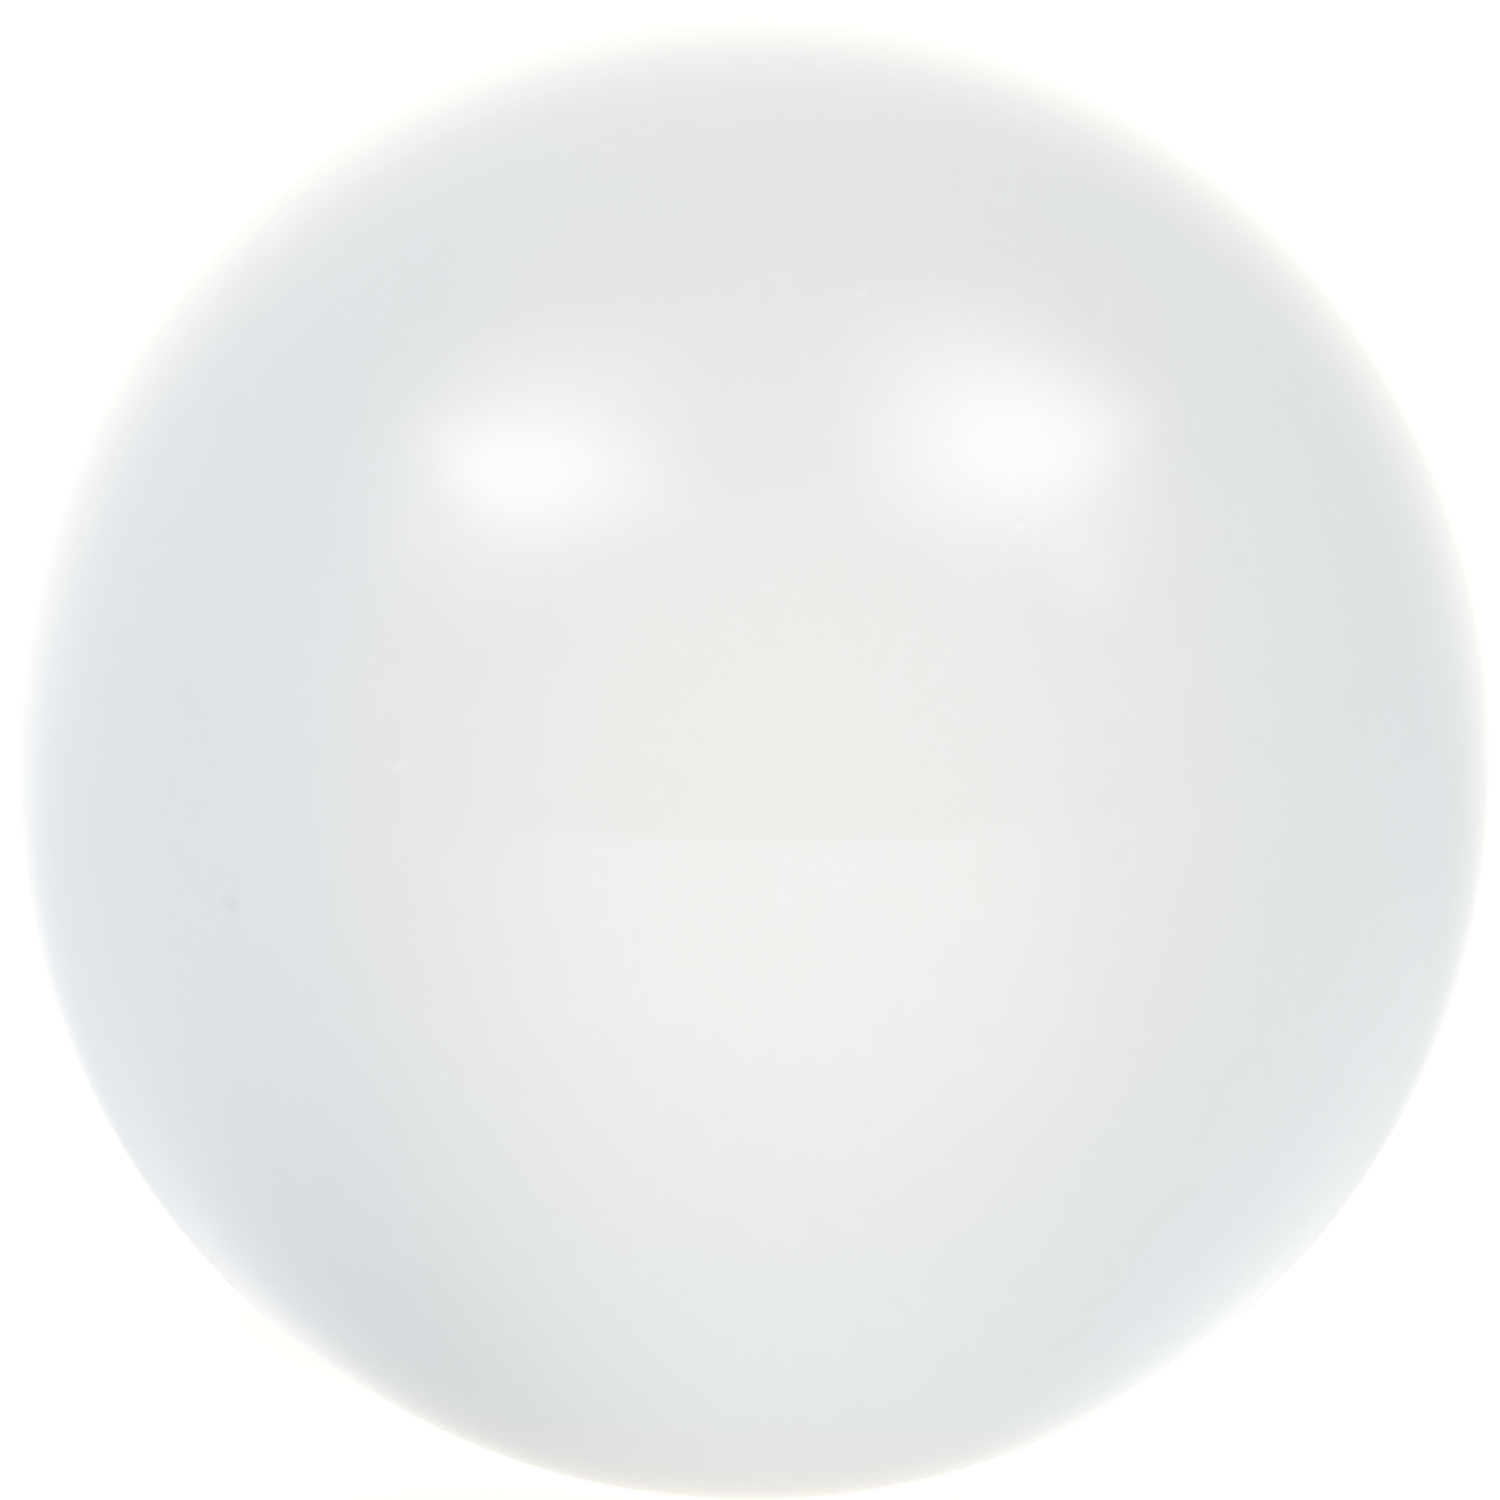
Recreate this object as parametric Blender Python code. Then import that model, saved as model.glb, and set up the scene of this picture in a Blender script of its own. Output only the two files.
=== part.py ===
"""A cue ball: one solid casting of white phenolic resin.

A cue ball is poured as a single piece, cured, ground true between wheels and
polished. It has no shell, core, seam, inlay, plug or fastener, so the whole
object is one closed solid.

The origin is the ball's centre and +Z is up. A ball at rest on a level table
touches it at one point, (0, 0, -BALL_RADIUS).
"""

import math

import bpy

# Driving dimensions, in metres.
INCH = 0.0254
BALL_DIAMETER = 2.25 * INCH
BALL_RADIUS = BALL_DIAMETER / 2

# Blender's level 1 is the plain icosahedron, and each level after it cuts every
# triangle into four. Level 5 has 5120 triangles, whose middles lie at most
# 0.033 mm inside the true sphere.
ICOSPHERE_SUBDIVISIONS = 5

# Blender stands an icosphere on a corner. Half the angle between two
# neighbouring corners brings an edge's middle to the top instead, and then
# there is a vertex on each of the six axis directions: the ball measures its
# true diameter along X, Y and Z, and it rests on a point.
GOLDEN_RATIO = (1 + math.sqrt(5)) / 2
HALF_CORNER_ANGLE = math.atan(1 / GOLDEN_RATIO)

# Finish of the polished resin.
RESIN_COLOUR = (0.80, 0.81, 0.80, 1.0)
RESIN_ROUGHNESS = 0.06
RESIN_IOR = 1.58


def clear_scene():
    """Remove whatever objects the scene starts with."""
    for obj in list(bpy.data.objects):
        bpy.data.objects.remove(obj, do_unlink=True)


def make_collection(name):
    """A collection of that name, linked to the scene."""
    collection = bpy.data.collections.new(name)
    bpy.context.scene.collection.children.link(collection)
    return collection


def make_resin():
    """White resin, cast solid and polished to a gloss."""
    material = bpy.data.materials.new("white_resin")
    material.use_nodes = True
    shader = material.node_tree.nodes["Principled BSDF"]
    shader.inputs["Base Color"].default_value = RESIN_COLOUR
    shader.inputs["Roughness"].default_value = RESIN_ROUGHNESS
    shader.inputs["Metallic"].default_value = 0.0
    shader.inputs["IOR"].default_value = RESIN_IOR
    return material


def make_ball(collection, material):
    """The ball itself, centred on the origin."""
    bpy.ops.mesh.primitive_ico_sphere_add(
        subdivisions=ICOSPHERE_SUBDIVISIONS,
        radius=BALL_RADIUS,
        rotation=(0.0, -HALF_CORNER_ANGLE, 0.0),
    )
    ball = bpy.context.active_object
    ball.name = "ball"
    ball.data.name = "ball"
    bpy.ops.object.transform_apply(location=False, rotation=True, scale=False)
    ball.data.shade_smooth()
    ball.data.materials.append(material)
    for holder in list(ball.users_collection):
        holder.objects.unlink(ball)
    collection.objects.link(ball)
    return ball


def main():
    clear_scene()
    make_ball(make_collection("cue_ball"), make_resin())


main()
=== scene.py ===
"""A cue ball of polished white phenolic resin, standing on a pale glowing floor between two softboxes."""
import math
import random

import bmesh
import bpy
from mathutils import Matrix, Vector


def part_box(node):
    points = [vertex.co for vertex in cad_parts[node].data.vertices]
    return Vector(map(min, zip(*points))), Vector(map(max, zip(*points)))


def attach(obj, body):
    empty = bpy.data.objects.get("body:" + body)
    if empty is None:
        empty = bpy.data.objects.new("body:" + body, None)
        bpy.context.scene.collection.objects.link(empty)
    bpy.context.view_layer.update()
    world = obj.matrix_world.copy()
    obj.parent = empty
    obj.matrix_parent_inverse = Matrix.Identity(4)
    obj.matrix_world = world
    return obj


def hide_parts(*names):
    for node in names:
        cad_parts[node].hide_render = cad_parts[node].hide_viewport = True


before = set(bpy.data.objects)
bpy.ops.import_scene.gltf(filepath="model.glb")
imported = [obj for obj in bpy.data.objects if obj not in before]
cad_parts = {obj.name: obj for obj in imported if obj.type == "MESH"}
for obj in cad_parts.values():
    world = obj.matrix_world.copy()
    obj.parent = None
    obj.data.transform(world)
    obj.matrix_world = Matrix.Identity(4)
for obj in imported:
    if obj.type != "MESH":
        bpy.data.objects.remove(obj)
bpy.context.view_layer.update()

MM = 0.001

# ---- the ball, read from the CAD ----
BALL_LOW, BALL_HIGH = (Vector(corner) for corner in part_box("ball"))
BALL_CENTRE = (BALL_LOW + BALL_HIGH) / 2
BALL_RADIUS = (BALL_HIGH.z - BALL_LOW.z) / 2
SPHERE_LEVEL = 7                 # an icosphere of 81,920 triangles, edges about 0.5 mm
REFINE_REACHES = (1.3, 1.1, 0.9)  # mm round a nick; each pass halves the edges there, to about 0.07 mm

# ---- resin ----
RESIN_WARM = (0.802, 0.800, 0.794)
RESIN_COOL = (0.794, 0.800, 0.804)
RESIN_GRAIN = (0.790, 0.790, 0.785)
SCRATCH_WHITE = (0.86, 0.86, 0.85)
CHIP_WHITE = (0.90, 0.90, 0.89)
DIRT_GREY = (0.62, 0.64, 0.66)
RESIN_ROUGHNESS = 0.07
ROUGHNESS_SWING = 0.008          # how far the haze moves the roughness up or down
RESIN_IOR = 1.65
HAIRLINE_COUNT = 10              # half of them show in each kind of patch
HAIRLINE_WIDTH = 0.05 * MM
HAIRLINE_SEED = 8

# ---- nicks in the polish ----
# Bearing and height in degrees, length, width and depth in mm, turn in degrees, tone. A tone above 0 is a
# whitened chip, below 0 one with chalk and dirt rubbed in.
SEEN_NICKS = (
    (167.9, 48.3, 0.80, 0.40, 0.012, 8, 0.3),
    (174.9, 42.2, 0.60, 0.40, 0.008, 60, 0.2),
    (157.3, 28.5, 0.70, 0.42, 0.012, 40, 0.3),
    (-152.9, 10.2, 0.95, 0.40, 0.010, 35, 0.3),
    (-137.6, -2.0, 1.10, 0.90, 0.010, 0, -0.3),
)
HIDDEN_NICK_COUNT = 9            # guessed ones on the far side
HIDDEN_NICK_SEED = 57

# ---- camera ----
CAMERA_HEIGHT = 12.0             # degrees above the middle of the ball
CAMERA_DISTANCE = 0.45
CAMERA_LENS = 280.0
CAMERA_SENSOR = 36.0
BALL_OFFSET = (0.004, -0.0107)   # where the middle of the ball sits, as a share of half the picture

# ---- studio ----
WHITE = (1.0, 1.0, 1.0)
COOL = (0.8, 0.92, 1.0)
SKY = (0.6, 0.75, 1.0)
WARM = (1.0, 0.85, 0.7)
AMBER = (1.0, 0.55, 0.2)
PALE = (1.0, 0.88, 0.8)

# Soft glows round the ball: name, bearing and height of the middle in degrees, angle where it starts to
# fade, angle where it is gone, tint, strength. The room and the floor share them, the floor giving them
# off as painted light, so that the floor runs into the backdrop without a line behind the ball.
GLOWS = (
    ("room", None, None, 0, 0, COOL, 0.55),
    ("backdrop", 0, -12, 35, 100, WARM, 0.3),
    ("backdrop_middle", 0, -12, 25, 60, WARM, 0.5),
    ("back_high", -8, 38, 0, 45, WARM, 0.3),
    ("back_left", -48, 10, 0, 45, WARM, 0.3),
    ("front", 180, 5, 0, 80, AMBER, 0.35),
    ("front_wall", 172, 10, 36, 50, WARM, 0.2),
    ("left", -90, 5, 0, 75, SKY, 0.35),
    ("right", 90, 5, 0, 75, COOL, 0.2),
    ("left_halo", -125, 51, 0, 30, WHITE, 1.6),
    ("right_halo", 115, 52, 0, 30, WHITE, 1.9),
    ("right_spill", 117, 30, 0, 9, COOL, 0.5),
)
# The same, on the floor alone, painted into its glow: a strength above 0 is painted light, below 0 painted
# shade.
FLOOR_GLOWS = (
    ("floor_even", None, None, 0, 0, WHITE, -0.3),
    # Painted light: a warm pool glows on the floor under the ball, where its shadow would fall, and lights
    # the ball from below.
    ("floor_painted_light_below", 0, -90, 0, 60, WARM, 0.75),
    # Painted light: brighter patches of floor in front of the ball and to its sides.
    ("floor_front", 178, -14, 20, 58, COOL, 0.5),
    ("floor_left", -82, -38, 0, 42, PALE, 0.5),
    ("floor_right", 80, -38, 0, 42, PALE, 0.5),
    ("floor_right_front", 115, -45, 0, 35, COOL, 0.25),
    # Painted shadow: the floor behind the ball and round where it touches is darkened in its glow.
    ("floor_painted_shade_behind", 0, -30, 0, 27, PALE, -0.8),
    ("floor_painted_contact_shade", 0, -58, 0, 35, PALE, -0.45),
)
FLOOR_PALE = (0.36, 0.36, 0.36)
FLOOR_GRAIN = (0.34, 0.34, 0.34)
FLOOR_SIZE = 8.0

# Softboxes: name, bearing, height and roll in degrees, sides (left, right, low, high), middle of the hot
# spot, its radii, its roll in degrees, power in watts. Sides and hot spot are tangents of the angle seen
# from the ball.
SOFTBOX_DISTANCE = 0.9
SOFTBOX_EDGE = 0.15              # over this much the lower edge fades in
SOFTBOXES = (
    ("left_softbox", -126, 48, -25, (-0.6, 0.55, -0.2, 0.55), (-0.05, -0.05), (0.8, 0.25), 45, 3.3),
    ("right_softbox", 116, 50, 10, (-0.6, 0.8, -0.25, 0.55), (0.05, -0.05), (0.8, 0.3), -30, 2.8),
)


def link(obj):
    bpy.context.scene.collection.objects.link(obj)
    return obj


def direction(bearing, height):
    """Unit vector at a bearing from +Y towards +X and a height above the horizon, both in degrees."""
    bearing, height = math.radians(bearing), math.radians(height)
    flat = math.cos(height)
    return Vector((math.sin(bearing) * flat, math.cos(bearing) * flat, math.sin(height)))


# ---------------------------------------------------------------- the ball

def hidden_nicks():
    """A few more nicks on the side away from the camera, about the size of the ones in view."""
    rng = random.Random(HIDDEN_NICK_SEED)
    nicks = []
    for _ in range(HIDDEN_NICK_COUNT):
        bearing = rng.uniform(-95, 95)
        height = math.degrees(math.asin(rng.uniform(-0.8, 0.9)))
        length = rng.uniform(0.5, 1.0)
        width = length * rng.uniform(0.4, 0.8)
        depth = rng.uniform(0.008, 0.014)
        tone = rng.choice((0.3, 0.4, -0.4))
        nicks.append((bearing, height, length, width, depth, rng.uniform(0, 180), tone))
    return nicks


def refine(mesh, spots, reach):
    """Halve the edges within reach of each spot, and put the new points back on the sphere."""
    cosine = math.cos(reach / BALL_RADIUS)
    near = set()
    for vertex in mesh.verts:
        heading = vertex.co.normalized()
        if any(heading.dot(spot) > cosine for spot in spots):
            near.add(vertex)
    edges = [edge for edge in mesh.edges if edge.verts[0] in near and edge.verts[1] in near]
    bmesh.ops.subdivide_edges(mesh, edges=edges, cuts=1)
    bmesh.ops.triangulate(mesh, faces=[face for face in mesh.faces if len(face.verts) > 3])
    for vertex in mesh.verts:
        vertex.co = vertex.co.normalized() * BALL_RADIUS


def press_nick(mesh, wear, nick):
    """Push a shallow oval dent into the sphere, and note the tone of the worn resin."""
    bearing, height, length, width, depth, turn, tone = nick
    out = direction(bearing, height)
    across = Vector((0, 0, 1)).cross(out).normalized()
    up = out.cross(across)
    turn = math.radians(turn)
    along = math.cos(turn) * across + math.sin(turn) * up
    aside = math.cos(turn) * up - math.sin(turn) * across
    reach = math.cos(length * MM / BALL_RADIUS)
    for vertex in mesh.verts:
        heading = vertex.co.normalized()
        if heading.dot(out) < reach:
            continue
        x = vertex.co.dot(along) / (length / 2 * MM)
        y = vertex.co.dot(aside) / (width / 2 * MM)
        inside = max(0.0, 1 - x * x - y * y)
        vertex.co -= heading * depth * MM * inside * inside
        vertex[wear] += tone * inside


def make_ball():
    nicks = list(SEEN_NICKS) + hidden_nicks()
    spots = [direction(nick[0], nick[1]) for nick in nicks]
    mesh = bmesh.new()
    bmesh.ops.create_icosphere(mesh, subdivisions=SPHERE_LEVEL, radius=BALL_RADIUS)
    for reach in REFINE_REACHES:
        refine(mesh, spots, reach * MM)
    wear = mesh.verts.layers.float.new("wear")
    for nick in nicks:
        press_nick(mesh, wear, nick)
    data = bpy.data.meshes.new("cue_ball")
    mesh.to_mesh(data)
    mesh.free()
    data.shade_smooth()
    data.materials.append(make_resin())
    ball = link(bpy.data.objects.new("cue_ball", data))
    ball.location = BALL_CENTRE
    return ball


# ---------------------------------------------------------------- materials

class Nodes:
    """A short way to write a node tree."""

    def __init__(self, tree):
        self.tree = tree

    def add(self, kind, **settings):
        node = self.tree.nodes.new(kind)
        for name, value in settings.items():
            setattr(node, name, value)
        return node

    def join(self, source, target):
        self.tree.links.new(source, target)

    def noise(self, place, scale, detail):
        node = self.add("ShaderNodeTexNoise")
        node.inputs["Scale"].default_value = scale
        node.inputs["Detail"].default_value = detail
        self.join(place, node.inputs["Vector"])
        return node.outputs["Fac"]

    def spread(self, value, low, high, start, end, smooth=False):
        """Map low..high to start..end, held at both ends."""
        node = self.add("ShaderNodeMapRange", interpolation_type="SMOOTHSTEP" if smooth else "LINEAR")
        node.inputs["From Min"].default_value = low
        node.inputs["From Max"].default_value = high
        node.inputs["To Min"].default_value = start
        node.inputs["To Max"].default_value = end
        self.join(value, node.inputs["Value"])
        return node.outputs["Result"]

    def plus(self, first, second):
        node = self.add("ShaderNodeVectorMath", operation="ADD")
        self.join(first, node.inputs[0])
        self.join(second, node.inputs[1])
        return node.outputs[0]

    def group(self, tree, value):
        node = self.add("ShaderNodeGroup")
        node.node_tree = tree
        self.join(value, node.inputs[0])
        return node.outputs[0]

    def maths(self, operation, first, second=0):
        node = self.add("ShaderNodeMath", operation=operation)
        for socket, value in zip(node.inputs, (first, second)):
            if isinstance(value, (int, float)):
                socket.default_value = value
            else:
                self.join(value, socket)
        return node.outputs[0]

    def mix(self, factor, first, second):
        node = self.add("ShaderNodeMix", data_type="RGBA")
        for socket, value in zip((node.inputs[0], node.inputs[6], node.inputs[7]), (factor, first, second)):
            if isinstance(value, tuple):
                socket.default_value = (*value, 1)
            elif isinstance(value, (int, float)):
                socket.default_value = value
            else:
                self.join(value, socket)
        return node.outputs[2]


def new_material(name):
    material = bpy.data.materials.new(name)
    material.use_nodes = True
    return material, Nodes(material.node_tree), material.node_tree.nodes["Principled BSDF"]


def hairline(nodes, place, axis, offset):
    """A thin scratch: where the sphere is cut by a plane square to the axis."""
    dot = nodes.add("ShaderNodeVectorMath", operation="DOT_PRODUCT")
    dot.inputs[1].default_value = axis
    nodes.join(place, dot.inputs[0])
    away = nodes.maths("ABSOLUTE", nodes.maths("SUBTRACT", dot.outputs["Value"], offset))
    return nodes.spread(away, 0, HAIRLINE_WIDTH, 1, 0)


def make_hairlines(nodes, place):
    """Faint polishing scratches as one value from 0 to 1, broken into short lengths by a noise."""
    rng = random.Random(HAIRLINE_SEED)
    patches = nodes.noise(place, 90, 1.0)
    total = 0.0
    for low, high in ((0.56, 0.66), (0.44, 0.34)):
        kept = nodes.spread(patches, low, high, 0, 1)
        lines = 0.0
        for _ in range(HAIRLINE_COUNT // 2):
            axis = Vector([rng.gauss(0, 1) for _ in range(3)]).normalized()
            offset = rng.uniform(-0.8, 0.8) * BALL_RADIUS
            lines = nodes.maths("MAXIMUM", hairline(nodes, place, axis, offset), lines)
        total = nodes.maths("MAXIMUM", nodes.maths("MULTIPLY", lines, kept), total)
    return total


def make_resin():
    material, nodes, shader = new_material("resin")
    place = nodes.add("ShaderNodeTexCoord").outputs["Object"]
    wear = nodes.add("ShaderNodeAttribute", attribute_name="wear").outputs["Fac"]

    # Colour: broad clouds, fine grain, then scratches, chips and dirt.
    clouds = nodes.spread(nodes.noise(place, 70, 3.0), 0.3, 0.7, 0, 1)
    colour = nodes.mix(clouds, RESIN_WARM, RESIN_COOL)
    grain = nodes.spread(nodes.noise(place, 900, 2.0), 0.35, 0.65, 0, 0.5)
    colour = nodes.mix(grain, colour, RESIN_GRAIN)
    scratches = make_hairlines(nodes, place)
    colour = nodes.mix(nodes.maths("MULTIPLY", scratches, 0.2), colour, SCRATCH_WHITE)
    chips = nodes.spread(wear, 0, 1, 0, 1)
    colour = nodes.mix(chips, colour, CHIP_WHITE)
    dirt = nodes.spread(wear, 0, -1, 0, 1)
    colour = nodes.mix(dirt, colour, DIRT_GREY)
    nodes.join(colour, shader.inputs["Base Color"])

    # Gloss: a faint haze, duller in the nicks and scratches.
    smoothest, roughest = RESIN_ROUGHNESS - ROUGHNESS_SWING, RESIN_ROUGHNESS + ROUGHNESS_SWING
    haze = nodes.spread(nodes.noise(place, 45, 3.0), 0.35, 0.65, smoothest, roughest)
    worn = nodes.maths("MULTIPLY", nodes.maths("ABSOLUTE", wear), 0.25)
    rough = nodes.maths("ADD", nodes.maths("ADD", haze, worn), nodes.maths("MULTIPLY", scratches, 0.06))
    nodes.join(rough, shader.inputs["Roughness"])

    # The polish is a little wavy.
    bump = nodes.add("ShaderNodeBump")
    bump.inputs["Strength"].default_value = 0.15
    bump.inputs["Distance"].default_value = 0.01 * MM
    nodes.join(nodes.noise(place, 160, 1.0), bump.inputs["Height"])
    nodes.join(bump.outputs["Normal"], shader.inputs["Normal"])

    shader.inputs["IOR"].default_value = RESIN_IOR
    return material


# ---------------------------------------------------------------- studio

def make_glow_group(name, glows):
    """A node group that gives the sum of the glows in a direction seen from the ball."""
    tree = bpy.data.node_groups.new(name, "ShaderNodeTree")
    tree.interface.new_socket("Direction", in_out="INPUT", socket_type="NodeSocketVector")
    tree.interface.new_socket("Colour", in_out="OUTPUT", socket_type="NodeSocketColor")
    nodes = Nodes(tree)
    heading = nodes.add("NodeGroupInput").outputs[0]
    total = None
    for label, bearing, height, full, gone, tint, strength in glows:
        part = nodes.add("ShaderNodeVectorMath", operation="SCALE")
        part.label = label
        part.inputs[0].default_value = strength * Vector(tint)
        part.inputs["Scale"].default_value = 1
        if bearing is not None:
            dot = nodes.add("ShaderNodeVectorMath", operation="DOT_PRODUCT")
            dot.inputs[1].default_value = direction(bearing, height)
            nodes.join(heading, dot.inputs[0])
            angle = nodes.maths("ARCCOSINE", dot.outputs["Value"])
            fade = nodes.spread(angle, math.radians(full), math.radians(gone), 1, 0, smooth=True)
            nodes.join(fade, part.inputs["Scale"])
        total = nodes.plus(total, part.outputs[0]) if total else part.outputs[0]
    nodes.join(total, nodes.add("NodeGroupOutput").inputs[0])
    return tree


def make_world(glow):
    world = bpy.data.worlds.new("studio")
    world.use_nodes = True
    nodes = Nodes(world.node_tree)
    around = nodes.add("ShaderNodeTexCoord").outputs["Generated"]
    nodes.join(nodes.group(glow, around), world.node_tree.nodes["Background"].inputs["Color"])
    world.cycles.sampling_method = "NONE"
    bpy.context.scene.world = world


def make_floor_material(glow, floor_glow):
    """A pale floor that gives off, as painted light, the glow of the direction in which the ball sees each
    of its points, with the painted light and painted shades of the floor glows.
    """
    material, nodes, shader = new_material("floor")
    place = nodes.add("ShaderNodeTexCoord").outputs["Object"]
    below = nodes.add("ShaderNodeVectorMath", operation="SUBTRACT")
    below.inputs[1].default_value = (0, 0, BALL_RADIUS)
    nodes.join(place, below.inputs[0])
    heading = nodes.add("ShaderNodeVectorMath", operation="NORMALIZE")
    nodes.join(below.outputs[0], heading.inputs[0])
    both = nodes.plus(nodes.group(glow, heading.outputs[0]), nodes.group(floor_glow, heading.outputs[0]))
    nodes.join(both, shader.inputs["Emission Color"])
    shader.inputs["Emission Strength"].default_value = 1
    grain = nodes.spread(nodes.noise(place, 25, 1.0), 0.3, 0.7, 0, 1)
    nodes.join(nodes.mix(grain, FLOOR_PALE, FLOOR_GRAIN), shader.inputs["Base Color"])
    shader.inputs["Roughness"].default_value = 1
    shader.inputs["Specular IOR Level"].default_value = 0
    return material


def make_floor(glow, floor_glow):
    mesh = bmesh.new()
    bmesh.ops.create_grid(mesh, x_segments=1, y_segments=1, size=FLOOR_SIZE / 2)
    data = bpy.data.meshes.new("floor")
    mesh.to_mesh(data)
    mesh.free()
    data.materials.append(make_floor_material(glow, floor_glow))
    floor = link(bpy.data.objects.new("floor", data))
    floor.location = (BALL_CENTRE.x, BALL_CENTRE.y, BALL_LOW.z)
    return floor


def hot_spot(nodes, sides, middle, radii, turn):
    """How bright each point of a softbox is: an oval spot, cut off by the soft lower edge."""
    left, right, low, high = sides
    place = nodes.add("ShaderNodeSeparateXYZ")
    nodes.join(nodes.add("ShaderNodeNewGeometry").outputs["Parametric"], place.inputs[0])
    x = nodes.spread(place.outputs["X"], 0, 1, left - middle[0], right - middle[0])
    y = nodes.spread(place.outputs["Y"], 0, 1, low - middle[1], high - middle[1])
    cosine, sine = math.cos(math.radians(turn)), math.sin(math.radians(turn))
    along = nodes.maths("ADD", nodes.maths("MULTIPLY", x, cosine / radii[0]),
                        nodes.maths("MULTIPLY", y, sine / radii[0]))
    aside = nodes.maths("ADD", nodes.maths("MULTIPLY", x, -sine / radii[1]),
                        nodes.maths("MULTIPLY", y, cosine / radii[1]))
    squares = nodes.maths("ADD", nodes.maths("MULTIPLY", along, along),
                          nodes.maths("MULTIPLY", aside, aside))
    spot = nodes.spread(nodes.maths("SQRT", squares), 0, 1, 1, 0, smooth=True)
    rise = nodes.spread(place.outputs["Y"], 0, SOFTBOX_EDGE / (high - low), 0, 1, smooth=True)
    return nodes.maths("MULTIPLY", spot, rise)


def make_softbox(name, bearing, height, roll, sides, middle, radii, turn, power):
    """A flat panel facing the ball, brightest at its hot spot."""
    out = direction(bearing, height)
    across = Vector((0, 0, 1)).cross(out).normalized()
    up = out.cross(across)
    roll = math.radians(roll)
    side = math.cos(roll) * across + math.sin(roll) * up
    top = math.cos(roll) * up - math.sin(roll) * across
    left, right, low, high = sides
    data = bpy.data.lights.new(name, "AREA")
    data.shape = "RECTANGLE"
    data.size = (right - left) * SOFTBOX_DISTANCE
    data.size_y = (high - low) * SOFTBOX_DISTANCE
    data.energy = power
    data.color = PALE
    data.use_nodes = True
    nodes = Nodes(data.node_tree)
    strength = hot_spot(nodes, sides, middle, radii, turn)
    nodes.join(strength, data.node_tree.nodes["Emission"].inputs["Strength"])
    softbox = link(bpy.data.objects.new(name, data))
    stand = Matrix((side, top, out)).transposed().to_4x4()
    middle_of_panel = out + side * (left + right) / 2 + top * (low + high) / 2
    stand.translation = BALL_CENTRE + SOFTBOX_DISTANCE * middle_of_panel
    softbox.matrix_world = stand
    softbox.visible_camera = False
    return softbox


def make_camera():
    data = bpy.data.cameras.new("camera")
    data.lens = CAMERA_LENS
    data.sensor_width = CAMERA_SENSOR
    data.clip_start = 0.01
    data.clip_end = 50
    camera = link(bpy.data.objects.new("camera", data))
    tilt = math.radians(CAMERA_HEIGHT)
    away = Vector((0, -math.cos(tilt), math.sin(tilt)))
    up = Vector((0, math.sin(tilt), math.cos(tilt)))
    half_picture = CAMERA_DISTANCE * CAMERA_SENSOR / 2 / CAMERA_LENS
    aim = BALL_CENTRE - half_picture * (Vector((1, 0, 0)) * BALL_OFFSET[0] + up * BALL_OFFSET[1])
    camera.location = aim + away * CAMERA_DISTANCE
    camera.rotation_euler = (-away).to_track_quat("-Z", "Y").to_euler()
    bpy.context.scene.camera = camera


ball = make_ball()
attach(ball, "root")
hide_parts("ball")
studio_glow = make_glow_group("studio_glow", GLOWS)
floor_glow = make_glow_group("floor_glow", FLOOR_GLOWS)
make_world(studio_glow)
make_floor(studio_glow, floor_glow)
for softbox in SOFTBOXES:
    make_softbox(*softbox)
make_camera()
bpy.context.scene.view_settings.view_transform = "Standard"
